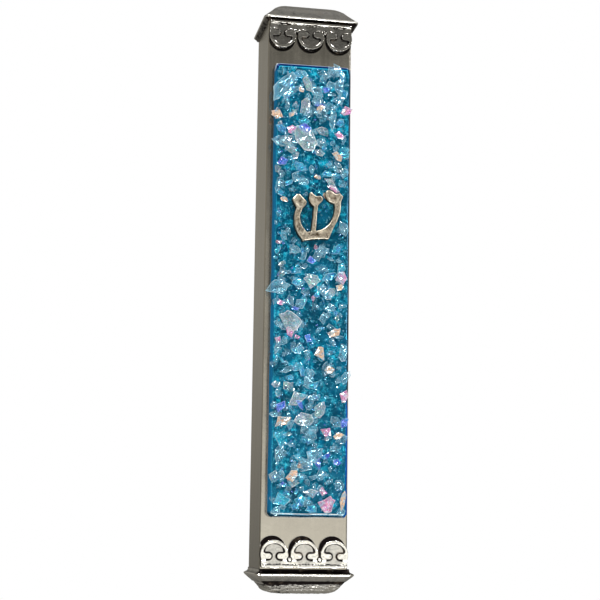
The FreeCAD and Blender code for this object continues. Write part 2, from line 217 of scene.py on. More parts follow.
class Recipe:
    """A node material being built: its tree, its main shader and short ways to add nodes."""

    def __init__(self, name, **settings):
        self.material = bpy.data.materials.new(name)
        self.material.use_nodes = True
        self.tree = self.material.node_tree
        self.shader = self.tree.nodes["Principled BSDF"]
        for key, value in settings.items():
            self.shader.inputs[key.replace("_", " ")].default_value = value

    def node(self, kind, **settings):
        """A node, with attributes and inputs set by name, or linked where a socket is given."""
        made = self.tree.nodes.new(kind)
        for key, value in settings.items():
            if hasattr(made, key):
                setattr(made, key, value)
            else:
                feed(made.inputs[key.replace("_", " ")], value)
        return made

    def place(self, stretch=(1, 1, 1)):
        """Object position, stretched, for a pattern."""
        where = self.node("ShaderNodeTexCoord").outputs["Object"]
        return self.node("ShaderNodeMapping", Vector=where, Scale=stretch).outputs["Vector"]

    def noise(self, scale, detail=4.0, stretch=(1, 1, 1), roughness=0.55, distortion=0.0):
        """Cloudy noise from 0 to 1. Scale is in features a metre."""
        made = self.node("ShaderNodeTexNoise", Vector=self.place(stretch), Scale=scale, Detail=detail,
                         Roughness=roughness, Distortion=distortion)
        return made.outputs["Fac"]

    def cells(self, scale):
        """Random cells, each with a colour of its own."""
        return self.node("ShaderNodeTexVoronoi", Vector=self.place(), Scale=scale).outputs["Color"]

    def ramp(self, value, stops):
        """Colour from a value through (position, colour) stops."""
        made = self.node("ShaderNodeValToRGB", Fac=value)
        fill_ramp(made.color_ramp, stops)
        return made.outputs["Color"]

    def shade(self, value, low, high, first=0.0, last=1.0):
        """Maps a value from one range to another, as a number."""
        made = self.node("ShaderNodeMapRange", Value=value)
        for key, number in (("From Min", low), ("From Max", high), ("To Min", first), ("To Max", last)):
            made.inputs[key].default_value = number
        return made.outputs["Result"]

    def mix(self, factor, first, second):
        """Mixes two colours."""
        made = self.tree.nodes.new("ShaderNodeMix")
        made.data_type = "RGBA"
        feed(made.inputs[0], factor)
        for index, colour in ((6, first), (7, second)):
            feed(made.inputs[index], (*colour, 1) if isinstance(colour, tuple) else colour)
        return made.outputs[2]

    def math(self, operation, first, second):
        """One sum of two values."""
        made = self.tree.nodes.new("ShaderNodeMath")
        made.operation = operation
        feed(made.inputs[0], first)
        feed(made.inputs[1], second)
        return made.outputs[0]

    def bump(self, value, depth_mm, after=None):
        """Surface relief, optionally on top of another."""
        made = self.node("ShaderNodeBump", Height=value, Strength=1.0, Distance=depth_mm * MM)
        if after is not None:
            self.tree.links.new(after, made.inputs["Normal"])
        return made.outputs["Normal"]

    def set(self, **sockets):
        """Links sockets to the shader's inputs and returns the material."""
        for key, socket in sockets.items():
            self.tree.links.new(socket, self.shader.inputs[key.replace("_", " ")])
        return self.material


def satin_nickel():
    """Polished sheet nickel, clouded by handling, with faint lengthwise rolling marks."""
    r = Recipe("satin_nickel", Metallic=1.0)
    cloud = r.noise(90, detail=5.0)
    rolling = r.noise(900, detail=3.0, stretch=(1, 1, 0.04))
    spots = r.noise(2600, detail=2.0)
    colour = r.ramp(cloud, [(0.3, (0.51, 0.475, 0.41)), (0.7, (0.59, 0.555, 0.48))])
    colour = r.mix(r.shade(spots, 0.55, 0.75, 0.0, 0.25), colour, (0.38, 0.35, 0.30))
    rough = r.math("ADD", r.shade(cloud, 0.3, 0.7, 0.15, 0.22), r.shade(rolling, 0.35, 0.65, 0.0, 0.05))
    normal = r.bump(rolling, 0.004)
    return r.set(Base_Color=colour, Roughness=rough, Normal=r.bump(cloud, 0.05, normal))


def antique_pewter(name, dark, bright, grain_mm, rough_dark=0.5, rough_bright=0.20, stain=0.25):
    """Cast pewter, dark where its tone is low and bright where it is high: black patina and worn-bright metal,
    and also the shade and highlights that the pieces paint into their tone; with casting grain.
    """
    r = Recipe(name, Metallic=1.0)
    tone = r.node("ShaderNodeAttribute", attribute_name="tone").outputs["Fac"]
    blotch = r.noise(420, detail=6.0, roughness=0.65)
    grain = r.noise(3200, detail=5.0, roughness=0.7)
    level = r.math("ADD", tone, r.shade(blotch, 0.3, 0.7, -0.16, 0.16))
    level = r.math("ADD", level, r.shade(grain, 0.3, 0.7, -0.10, 0.10))
    middle = tuple(0.55 * b + 0.1 * d for b, d in zip(bright, dark))
    colour = r.ramp(level, [(0.05, dark), (0.40, middle), (0.75, bright)])
    brown = tuple(share * part for share, part in zip((0.42, 0.33, 0.25), bright))
    colour = r.mix(r.shade(blotch, 0.52, 0.72, 0.0, stain), colour, brown)
    rough = r.shade(level, 0.1, 0.9, rough_dark, rough_bright)
    pitting = r.noise(1500, detail=6.0, roughness=0.75)
    normal = r.bump(grain, grain_mm)
    return r.set(Base_Color=colour, Roughness=rough, Normal=r.bump(pitting, grain_mm * 2, normal))


def crinkle(r, scale, width, distortion=1.2):
    """Thin wandering lines, 1 on a line and 0 between lines."""
    field = r.noise(scale, detail=3.0, distortion=distortion)
    off = r.math("ABSOLUTE", r.math("SUBTRACT", field, 0.5), 0.0)
    return r.shade(off, 0.0, width, 1.0, 0.0)


def teal_resin():
    """Deep teal resin over blue foil, full of buried glass splinters, with painted glints: bright cyan crinkle
    lines. Tone is the depth in from the rim. Near the rim the colour paints light and shade: a navy strip at
    the very edge of the top as a painted reflection, other colours along the other sides, then a thin bright
    line as a painted highlight, and near-black side walls as painted shade."""
    r = Recipe("teal_resin", Metallic=0.35, Roughness=0.16, IOR=1.4, Specular_IOR_Level=0.25)
    depth = r.noise(160, detail=3.0)
    fine = r.noise(700, detail=4.0)
    splinters = r.cells(800)
    base = r.ramp(depth, [(0.30, (0.0, 0.036, 0.073)), (0.5, (0.001, 0.070, 0.130)),
                          (0.7, (0.002, 0.115, 0.215))])
    tint = r.ramp(splinters, [(0.15, (0.0, 0.05, 0.13)), (0.55, (0.002, 0.18, 0.32)),
                              (0.9, (0.01, 0.50, 0.72))])
    busy = r.shade(r.noise(210, detail=2.0), 0.42, 0.60)
    base = r.mix(r.math("MULTIPLY", r.shade(fine, 0.40, 0.60, 0.1, 0.9), busy), base, tint)
    # Painted glints: bright cyan crinkle lines where the splinters are busy.
    lines = r.math("MULTIPLY", crinkle(r, 520, 0.022), r.shade(fine, 0.40, 0.55, 0.1, 1.0))
    base = r.mix(r.math("MULTIPLY", lines, r.shade(busy, 0.0, 1.0, 0.35, 1.0)), base, (0.10, 0.75, 0.95))
    edge = r.node("ShaderNodeAttribute", attribute_name="tone").outputs["Fac"]
    axes = r.node("ShaderNodeSeparateXYZ", Vector=r.place())
    # Near the rim the colour paints light and shade, different on each side. Where the slab's top, low and
    # right edges begin and end, in metres.
    near_top = r.shade(axes.outputs["Z"], 0.0540, 0.0550)
    near_low = r.shade(axes.outputs["Z"], -0.0545, -0.0552)
    near_right = r.shade(axes.outputs["X"], 0.0089, 0.0093)
    edge = r.math("SUBTRACT", edge, r.math("MULTIPLY", near_top, 0.22))
    # Painted reflection and shade: navy at the top, blue on the left, dark at the bottom, blue low on the
    # right and dark above that.
    painted_edge_band = r.mix(near_top, (0.006, 0.14, 0.30), (0.001, 0.022, 0.12))
    painted_edge_band = r.mix(near_low, painted_edge_band, (0.0, 0.03, 0.06))
    right = r.mix(r.shade(axes.outputs["Z"], -0.030, -0.026), (0.0, 0.08, 0.36), (0.0, 0.04, 0.08))
    painted_edge_band = r.mix(near_right, painted_edge_band, right)
    base = r.mix(r.shade(edge, 0.75, 0.55), base, painted_edge_band)
    # Painted highlight: a bright line a little in from the rim, full at top and bottom, faint on the left,
    # none on the right, and white along the bottom.
    bright = r.math("MULTIPLY", r.shade(edge, 0.70, 0.82), r.shade(edge, 1.0, 0.88))
    bright = r.math("MULTIPLY", bright, r.shade(depth, 0.35, 0.55, 0.25, 0.9))
    side_line = r.shade(near_right, 0.0, 1.0, 0.35, 0.0)
    line = r.math("MAXIMUM", side_line, r.math("MAXIMUM", near_top, near_low))
    glint = r.mix(near_low, (0.04, 0.55, 0.85), (0.95, 1.0, 1.0))
    base = r.mix(r.math("MULTIPLY", bright, line), base, glint)
    # Painted highlight: a whitish line at the very edge of the top.
    base = r.mix(r.math("MULTIPLY", near_top, r.shade(edge, 0.16, 0.06)), base, (0.45, 0.55, 0.7))
    # Painted shade: the side walls go near black.
    base = r.mix(r.shade(edge, -0.05, -0.2), base, (0.0, 0.018, 0.03))
    tilt = r.node("ShaderNodeSeparateColor", Color=splinters).outputs["Red"]
    return r.set(Base_Color=base, Normal=r.bump(tilt, 0.10))


def chip_glass(name, body, rim, tints, edge):
    """Broken art glass: see-through in the middle, with painted highlights along its rims and along wandering
    crease lines, milky in patches, and a pearly tint that wanders between pieces and across each one. body and
    rim are how solid the middle and the rim look."""
    r = Recipe(name, Metallic=0.4, Roughness=0.06, IOR=1.6)
    tone = r.node("ShaderNodeAttribute", attribute_name="tone").outputs["Fac"]
    own = r.node("ShaderNodeNewGeometry").outputs["Random Per Island"]
    drift = r.noise(800, detail=2.0, distortion=0.8)
    where = r.math("FRACT", r.math("ADD", own, r.shade(drift, 0.3, 0.7, 0.0, 1.3)), 0.0)
    colour = r.ramp(where, [(index / (len(tints) - 1), tint) for index, tint in enumerate(tints)])
    cloud = r.noise(1100, detail=3.0, roughness=0.6)
    lines = crinkle(r, 560, 0.020, 2.0)
    # Painted highlights: whitish along the rims and the crease lines; the cloudy patches are milky glass.
    glints_and_haze = r.math("MAXIMUM", tone, r.math("MULTIPLY", lines, 0.55))
    glints_and_haze = r.math("MAXIMUM", glints_and_haze, r.shade(cloud, 0.62, 0.76, 0.0, 0.5))
    colour = r.mix(r.shade(glints_and_haze, 0.0, 1.0, 0.0, 0.85), colour, edge)
    solid = r.shade(glints_and_haze, 0.0, 1.0, body, rim)
    return r.set(Base_Color=colour, Alpha=solid, Normal=r.bump(cloud, 0.03))


def grained(name, colours, mottle, grain, rough=None, depth_mm=0.0, **settings):
    """A plain material. Its colour follows the mottle noise, its roughness and relief the grain noise."""
    r = Recipe(name, **settings)
    sockets = {"Base_Color": r.ramp(r.noise(**mottle), colours)}
    fine = r.noise(**grain)
    if rough:
        sockets["Roughness"] = r.shade(fine, 0.3, 0.7, *rough)
    if depth_mm:
        sockets["Normal"] = r.bump(fine, depth_mm)
    return r.set(**sockets)


def blue_foil():
    """Creased blue metallic foil."""
    r = Recipe("blue_foil", Metallic=0.9, Roughness=0.2)
    creases = r.cells(900)
    colour = r.ramp(creases, [(0.2, (0.0, 0.05, 0.14)), (0.8, (0.01, 0.25, 0.42))])
    tilt = r.node("ShaderNodeSeparateColor", Color=creases).outputs["Red"]
    return r.set(Base_Color=colour, Normal=r.bump(tilt, 0.05))


# ---- castings ----

# Outlines of a cap: inset from the rim's edge, height above the channel's end, corner radius, tone. The tone
# holds patina and wear and also painted light: painted shade where the cap meets the channel next to its rim,
# a painted highlight along the rim's bead, and darker in the bottom cap's crease.
TOP_PROFILE = [
    (0.9, 0.0, 1.0, -0.4), (0.6, 0.40, 1.2, -0.4), (0.2, 0.68, 1.5, -0.3), (0.10, 0.76, 1.5, 0.9),
    (0.03, 0.84, 1.5, 1.0), (0.0, 0.93, 1.5, 0.5), (0.0, 1.08, 1.5, 0.35), (0.05, 1.20, 1.5, 0.35),
    (0.2, 1.38, 1.5, 0.35), (0.6, 1.76, 1.4, 0.33), (2.1, 3.25, 1.0, 0.33), (3.1, 4.4, 1.0, 0.4),
    (3.9, 5.05, 1.0, 0.4), (4.6, 5.5, 1.0, 0.45), (5.4, 5.88, 0.9, 0.45), (6.4, 6.15, 0.9, 0.45),
    (8.2, 6.43, 0.8, 0.45),
]
BOTTOM_PROFILE = [
    (1.1, 0.0, 1.0, -0.4), (1.08, 0.25, 1.0, 0.0), (1.05, 0.5, 1.0, 0.0), (0.9, 0.8, 1.2, -0.3),
    (0.2, 1.12, 1.5, -0.3), (0.06, 1.20, 1.5, 1.0), (0.0, 1.30, 1.5, 1.0), (0.0, 1.36, 1.5, 1.0),
    (0.08, 1.54, 1.5, 0.7), (0.25, 1.75, 1.5, 0.45), (0.6, 2.05, 1.4, 0.38), (1.55, 2.82, 1.0, 0.32),
    (1.75, 2.98, 1.0, -0.1), (1.9, 3.10, 1.0, -0.4), (2.2, 3.40, 1.0, -0.1), (3.1, 4.5, 1.0, 0.45),
    (3.8, 5.25, 1.0, 0.6), (4.5, 5.62, 1.0, 0.55), (5.4, 5.82, 0.9, 0.3), (6.4, 5.94, 0.9, 0.3),
    (8.2, 6.03, 0.8, 0.3),
]
CAP_POINTS = 330          # round the front and sides of a cap
CAP_ROW_STEP = 0.2        # largest distance between a cap's rows
TONGUE_INSET = 0.92       # channel wall and solder gap beside a cap's tongue
NOTCH_ROOM = 0.25         # clearance of the bottom cap round the back plate
SHARP_ANGLE = 40          # degrees


def cap_ring(inset, corner):
    """Points round a cap from its rear left to its rear right: straight sides, two rounded front corners."""
    left = cap_low.x + inset
    right = cap_high.x - inset
    y0 = front_y - rim_front + inset
    side = rear_y - y0 - corner
    bend = math.pi / 2 * corner
    front = right - left - 2 * corner
    total = 2 * side + 2 * bend + front
    ring = []
    for index in range(CAP_POINTS):
        s = total * index / (CAP_POINTS - 1)
        if s <= side:
            ring.append((left, rear_y - s))
        elif s <= side + bend:
            a = (s - side) / corner
            ring.append((left + corner - corner * math.cos(a), y0 + corner - corner * math.sin(a)))
        elif s <= side + bend + front:
            ring.append((left + corner + s - side - bend, y0))
        elif s <= side + 2 * bend + front:
            a = (s - side - bend - front) / corner
            ring.append((right - corner + corner * math.sin(a), y0 + corner - corner * math.cos(a)))
        else:
            ring.append((right, y0 + corner + s - side - 2 * bend - front))
    return np.array(ring)


def cap_rows(profile, spacing):
    """The profile's rows, filled in so that none are further apart than spacing."""
    rows = []
    for a, b in zip(profile, profile[1:]):
        count = max(1, int(math.ceil(math.hypot(b[0] - a[0], b[1] - a[1]) / spacing)))
        rows += [tuple(p + (q - p) * i / count for p, q in zip(a, b)) for i in range(count)]
    return rows + [profile[-1]]


def end_cap(name, node, profile, hammer_from, hammer_mm, material):
    """A cast end cap, hammered rough above hammer_from. A value past its top leaves it plain. The bottom one
    is notched for the plate. Its tone also holds painted light: dark grooves paler on the left side, and the
    hammered part paler towards the right."""
    sign = 1 if node == "top_cap" else -1
    points = []
    tone = []
    rows = cap_rows(profile, CAP_ROW_STEP)
    for inset, height, corner, patina_and_painted_light in rows:
        ring = cap_ring(inset, corner)
        u = ring[:, 0] + 31.0
        v = ring[:, 1] + 3.0 * height
        rough = 0.60 * lattice_noise(u, v, 0.60, 5) + 0.25 * lattice_noise(u, v, 1.3, 6)
        rough = rough + 0.45 * lattice_noise(u, v, 0.30, 7)
        hammered = float(smooth_step(hammer_from, hammer_from + 0.4, height))
        share = hammered * hammer_mm + 0.012 * float(smooth_step(0.0, 0.5, height))
        z = half_length + height + share * rough
        grow = 1 + (share * rough * 0.6) / np.maximum(np.abs(ring[:, 0]), 6.0)
        points.append(np.stack([ring[:, 0] * grow, ring[:, 1], sign * z], 1))
        # Painted light: the dark rows are lighter on the left side, and the hammered part lighter towards the
        # right.
        left_painted_light = 0.55 * smooth_step(cap_low.x + inset + 0.5, cap_low.x + inset, ring[:, 0])
        lit = 0.25 * hammered * smooth_step(-6, 3, ring[:, 0])
        patches = (0.08 + 8.0 * hammered * hammer_mm) * rough
        tone.append(patina_and_painted_light + np.where(patina_and_painted_light < 0.1, left_painted_light, 0) + lit + patches)
    points = np.concatenate(points)
    faces = []
    for row in range(len(rows) - 1):
        start = row * CAP_POINTS
        for index in range(CAP_POINTS - 1):
            a = start + index
            faces.append((a, a + 1, a + 1 + CAP_POINTS, a + CAP_POINTS))
        faces.append((start + CAP_POINTS - 1, start, start + CAP_POINTS, start + 2 * CAP_POINTS - 1))
    faces.append(tuple(reversed(range(CAP_POINTS))))
    last = (len(rows) - 1) * CAP_POINTS
    faces.append(tuple(range(last, last + CAP_POINTS)))
    if sign < 0:
        faces = [tuple(reversed(face)) for face in faces]
    made = piece(name, points, faces, material, "case", replaced=(node,),
                 tone=np.concatenate(tone))
    if sign < 0:
        plate_low, plate_high = box_mm("back_plate")
        notch = (plate_high.x + NOTCH_ROOM, plate_low.y - NOTCH_ROOM)
        cut_box(made, (-notch[0], notch[1], -half_length - 10), (notch[0], 5, 0))
    add_tongue(made, node)
    sharpen(made, SHARP_ANGLE)
    return made


def cut_box(target, low, high):
    """Cuts a box, given in mm, out of a piece."""
    cutter_mesh = bpy.data.meshes.new("cutter")
    cutter_mesh.from_pydata(box_corners(low, high), [], BOX_FACES)
    cutter = bpy.data.objects.new("cutter", cutter_mesh)
    bpy.context.scene.collection.objects.link(cutter)
    step = target.modifiers.new("notch", "BOOLEAN")
    step.operation = "DIFFERENCE"
    step.solver = "EXACT"
    step.object = cutter
    apply_modifiers(target)
    bpy.data.objects.remove(cutter)


def apply_modifiers(target):
    """Bakes a piece's modifiers into its mesh."""
    graph = bpy.context.evaluated_depsgraph_get()
    graph.update()
    mesh = bpy.data.meshes.new_from_object(target.evaluated_get(graph))
    target.modifiers.clear()
    target.data = mesh


def add_tongue(target, node):
    """Adds the plain tongue that a cap has inside the channel, with the CAD node's own corners."""
    low, high = box_mm(node)
    inner = half_width - TONGUE_INSET
    tongue_top = high.z if node == "bottom_cap" else low.z
    points = np.array([tuple(v.co) for v in NODES[node].data.vertices]) / MM
    ends = points[np.abs(points[:, 2] - tongue_top) < 0.01]
    y0, y1 = ends[:, 1].min(), ends[:, 1].max()
    z0, z1 = sorted((tongue_top, math.copysign(half_length, tongue_top)))
    mesh = bmesh.new()
    mesh.from_mesh(target.data)
    corners = [mesh.verts.new(corner) for corner in box_corners((-inner, y0, z0), (inner, y1, z1))]
    for face in BOX_FACES:
        mesh.faces.new([corners[i] for i in face])
    mesh.to_mesh(target.data)
    mesh.free()


def sharpen(target, degrees):
    """Smooth shading that breaks where faces meet at more than this angle."""
    target.data.polygons.foreach_set("use_smooth", [True] * len(target.data.polygons))
    target.data.set_sharp_from_angle(angle=math.radians(degrees))


# Distance between neighbouring points of each relief.
FRIEZE_STEP = 0.085
LETTER_STEP = 0.09
RESIN_STEP = 0.22

FRIEZE_THICKNESS = 1.45
# Thickness of the thin sheet round a frieze's raised part, which is painted black as shadow.
SHADOW_BED_THICKNESS = 0.2
RECESS_DEPTH = 0.45
BOSS_RADIUS = 0.46
BOSS_LEVEL = -1.2         # of a boss's middle, seen from its lobes' centres
LOBE_PITCH = 7.3
LOBE_RADIUS = 3.4
LOBE_PLACES = (-LOBE_PITCH, 0.0, LOBE_PITCH)
BOSS_PLACES = (-LOBE_PITCH / 2, LOBE_PITCH / 2)


def frieze_core(u, v, strip_edge):
    """The raised part: three lobes hanging from a strip. v grows from the cap towards the lobes' tips."""
    strip = box_distance(u, v, 0.2 - half_width, half_width - 0.2, strip_edge, -0.5, 0.5)
    lobes = [circle_distance(u, v, place, 0.0, LOBE_RADIUS) for place in LOBE_PLACES]
    return np.minimum.reduce([strip] + lobes) + 0.04 * lattice_noise(u, v, 0.7, 31)


def frieze_recess(u, v):
    """The recess of one lobe: a dome on a stem, between the two round knobs of the lobe's scrolls."""
    dome = np.hypot(u / 2.45, (v - 0.55) / 1.97) * 2.2 - 2.2
    under = 0.30 - v
    corner = 0.4
    outside = np.hypot(np.maximum(dome + corner, 0), np.maximum(under + corner, 0))
    dome = np.minimum(np.maximum(dome, under), -corner) + outside
    stem = box_distance(u, v, -1.9, 1.9, -2.66, 1.5)
    knobs = circle_distance(np.abs(u), v, 1.33, -0.46, 0.76)
    knobs = np.minimum(knobs, box_distance(np.abs(u), v, 1.33, 3.0, -1.22, 0.30))
    return np.maximum(np.minimum(dome, stem), -knobs)


def frieze_height(u, v, strip_edge, patina_and_shade):
    """Height and tone of the frieze's front, with a thin sheet round its raised part that is painted black as
    shadow. Its last argument is how dark the recess edges, the boss grooves and the painted shadow beside the
    bar are: partly patina, partly painted shade."""
    core = frieze_core(u, v, strip_edge)
    depth = np.maximum(-core, 0.0)
    recess = np.minimum.reduce([frieze_recess(u - place, v) for place in LOBE_PLACES])
    edge = 0.16
    rounding = np.where(depth < edge, edge - np.sqrt(np.maximum(edge**2 - (edge - depth) ** 2, 0)), 0)
    height = FRIEZE_THICKNESS - rounding
    crisp = smooth_step(-1.75, -1.35, v)
    across = np.abs((u + LOBE_PITCH / 2) % LOBE_PITCH - LOBE_PITCH / 2)
    sunk = crisp * smooth_step(-0.08, 0.12, -recess) + (1 - crisp) * (1 - 0.7 * smooth_step(0.9, 2.8, across))
    height = height - RECESS_DEPTH * sunk * smooth_step(strip_edge + 0.72, strip_edge + 0.90, v)
    lower = 1 - smooth_step(0.9, 1.9, v)
    # Dark lines along the recess edges: patina with painted shade, thicker on the side towards the cap.
    recess_patina_and_shade = np.exp(-(((recess + 0.03) / (0.12 + 0.06 * lower)) ** 2)) * (0.65 + 0.35 * lower) * crisp
    tone = 0.90 - patina_and_shade * 1.6 * recess_patina_and_shade - 0.42 * sunk
    # The grooves round the bosses are dark patina, deepened by painted shade.
    for place in BOSS_PLACES:
        boss = circle_distance(u, v, place, BOSS_LEVEL, BOSS_RADIUS)
        height = height + 0.20 * smooth_step(-0.28, 0.10, -boss)
        groove = np.exp(-(((boss - 0.08) / 0.14) ** 2)) * smooth_step(-2.1, -1.5, v)
        height = height - 0.15 * groove
        tone = tone - (0.4 + 1.5 * patina_and_shade) * groove
    bar_end = strip_edge + 0.66
    bar = box_distance(u, v, 0.95 - half_width, half_width - 0.95, strip_edge + 0.05, bar_end, 0.25)
    height = height + 0.14 * smooth_step(-0.12, 0.16, -bar)
    ragged = bar_end + 0.14 + 0.10 * lattice_noise(u, v * 0, 0.5, 13)
    shadow = np.exp(-(((v - ragged) / 0.11) ** 2)) * smooth_step(-0.5, 0.1, lattice_noise(u, v * 0, 0.35, 12))
    shadow = patina_and_shade * shadow * smooth_step(half_width - 0.7, half_width - 1.4, np.abs(u))
    # Painted shadow: a ragged dark line on the lobes' side of the bar; painted highlight: the bar a little
    # lighter.
    tone = tone - 1.3 * shadow + 0.1 * smooth_step(0.0, 0.2, -bar)
    cast = 0.012 * lattice_noise(u, v, 0.35, 8) + 0.012 * lattice_noise(u, v, 1.1, 9)
    height = height - 0.12 * shadow + cast
    on_shadow_bed = core > -0.02
    # The thin sheet takes a black tone: painted shadow.
    return np.where(on_shadow_bed, SHADOW_BED_THICKNESS, height), np.where(core > -0.07, -0.5, tone)


def frieze(name, sign, node, lobe_z, shadow_bed, patina_and_shade, material):
    """One frieze. sign is 1 at the top, where the lobes hang down, and -1 at the bottom. Its fifth argument is
    how far the thin sheet painted black as shadow shows past the lobes, across the case and towards its
    middle."""
    strip_edge = lobe_z - half_length + 0.25

    def place(u, v, height):
        return np.stack([-sign * u, front_y - height, sign * (lobe_z - v)], -1)

    def outline(u, v):
        discs = [circle_distance(u, v, place - sign * shadow_bed[0], shadow_bed[1], LOBE_RADIUS) for place in LOBE_PLACES]
        inside = box_distance(u, v, 0.1 - half_width, half_width - 0.1, -9, 9)
        return np.minimum(frieze_core(u, v, strip_edge), np.maximum(np.minimum.reduce(discs), inside))

    def height(u, v, depth):
        rise, tone = frieze_height(u, v, strip_edge, patina_and_shade)
        # Painted reflection: a thin bright line along the outer edge of the black sheet.
        shadow_edge_reflection = np.exp(-((depth / 0.07) ** 2)) * (frieze_core(u, v, strip_edge) > 0.25)
        return rise, tone + 1.3 * shadow_edge_reflection

    area = (-half_width - 0.2, half_width + 0.2, strip_edge - 0.15, 3.6 + shadow_bed[1])
    return relief(name, outline, height, area, FRIEZE_STEP, place, material, node)


LETTER_PLACE = (1.6, 17.2)
LETTER_TURN = math.radians(6.0)
LETTER_AREA = (-6.4, 7.4, -6.6, 6.9)   # left, right, low and high
LETTER_START = (-5.9, 4.6)
LETTER_RUNS = [  # a straight run to one point, or an arc through the first point to the second, in mm
    ((-4.6, 5.8),), ((-3.9, 5.7),), ((-2.4, 3.7),), ((-2.7, 2.9),), ((-3.5, 2.2),),
    ((-4.45, -0.8), (-3.1, -3.9)), ((-1.9, -3.8),), ((-0.6, 2.5),),
    ((-1.6, 3.9), (-1.4, 5.6)), ((-1.0, 6.0), (-0.6, 5.6)), ((0.2, 4.9),), ((1.2, 5.0),),
    ((1.75, 4.3), (1.3, 3.5)), ((0.3, 2.5),), ((-0.9, -3.8),), ((0.7, -3.5),),
    ((3.3, -1.5), (4.6, 1.9)), ((4.5, 2.9),), ((2.9, 3.9), (2.6, 5.7)), ((3.2, 6.3), (4.1, 6.0)),
    ((5.0, 5.3),), ((6.2, 5.4),), ((6.8, 4.6),), ((6.1, 2.9),), ((5.6, 0.2), (3.9, -2.9)),
    ((2.2, -5.9),), ((-1.0, -5.7), (-4.2, -6.0)), ((-5.4, -3.8),), ((-5.9, -0.8), (-5.0, 2.3)),
    (LETTER_START,),
]


def letter_outline():
    """The letter's outline as short straight steps, with its arcs followed by smooth curves."""
    outline = [LETTER_START]
    for run in LETTER_RUNS:
        start = outline[-1]
        end = run[-1]
        if len(run) == 1:
            outline.append(end)
            continue
        pull = [2 * m - (a + b) / 2 for m, a, b in zip(run[0], start, end)]
        for index in range(1, 11):
            t = index / 10
            outline.append(tuple((1 - t) ** 2 * a + 2 * t * (1 - t) * m + t * t * b
                                 for a, m, b in zip(start, pull, end)))
    return outline[:-1]


def shin_letter(material):
    """The cast letter: sloping edges painted bright as a highlight round a pitted, darker face."""
    outline = letter_outline()
    thickness = letter_high.y - letter_low.y
    cosine = math.cos(LETTER_TURN)
    sine = math.sin(LETTER_TURN)

    def distance(u, v):
        return outline_distance(u, v, outline) - 0.06 + 0.05 * lattice_noise(u, v, 0.9, 41)

    def height(u, v, depth):
        edge = np.clip(depth / 0.26, 0, 1)
        cast = 0.05 * lattice_noise(u, v, 0.45, 21) + 0.05 * lattice_noise(u, v, 1.2, 22)
        face = thickness - 0.26 + 0.26 * np.sqrt(1 - (1 - edge) ** 2) - 0.08 * smooth_step(0.35, 0.9, depth)
        # Painted highlight: the tone is bright along the edges and falls on the face.
        edge_highlight = 1.0 - 0.58 * smooth_step(0.15, 0.42, depth)
        mottle = 0.30 * lattice_noise(u, v, 0.8, 23) + 0.22 * lattice_noise(u, v, 0.35, 24)
        return face + cast * smooth_step(0.1, 0.4, depth), edge_highlight + mottle * smooth_step(0.1, 0.4, depth)

    def place(u, v, height):
        x = LETTER_PLACE[0] + u * cosine - v * sine
        z = LETTER_PLACE[1] + u * sine + v * cosine
        return np.stack([x, resin_y - height, z], -1)

    return relief("letter", distance, height, LETTER_AREA, LETTER_STEP, place, material, "shin_letter")


# ---- the panel ----


def resin_slab(material):
    """Poured slab with a rounded, slightly uneven rim and a gently swelling surface."""
    u0, u1 = slab_low.x, slab_high.x
    v0, v1 = slab_low.z, slab_high.z
    thickness = slab_high.y - slab_low.y
    shoulder = 1.05

    def distance(u, v):
        return box_distance(u, v, u0, u1, v0, v1, 1.2) + 0.08 * lattice_noise(u, v, 4.0, 51) - 0.02

    def height(u, v, depth):
        t = np.clip(depth / shoulder, 0, 1)
        rim = shoulder * (1 - np.sqrt(np.maximum(1 - (1 - t) ** 2, 0)))
        swell = 0.07 * lattice_noise(u, v, 1.5, 52) + 0.05 * lattice_noise(u, v, 0.8, 53)
        return thickness - rim + swell * smooth_step(0.2, 1.2, depth), depth

    def place(u, v, height):
        return np.stack([u, slab_high.y - height, v], -1)

    area = (u0 - 0.3, u1 + 0.3, v0 - 0.3, v1 + 0.3)
    return relief("resin_slab", distance, height, area, RESIN_STEP, place, material, "resin_panel")


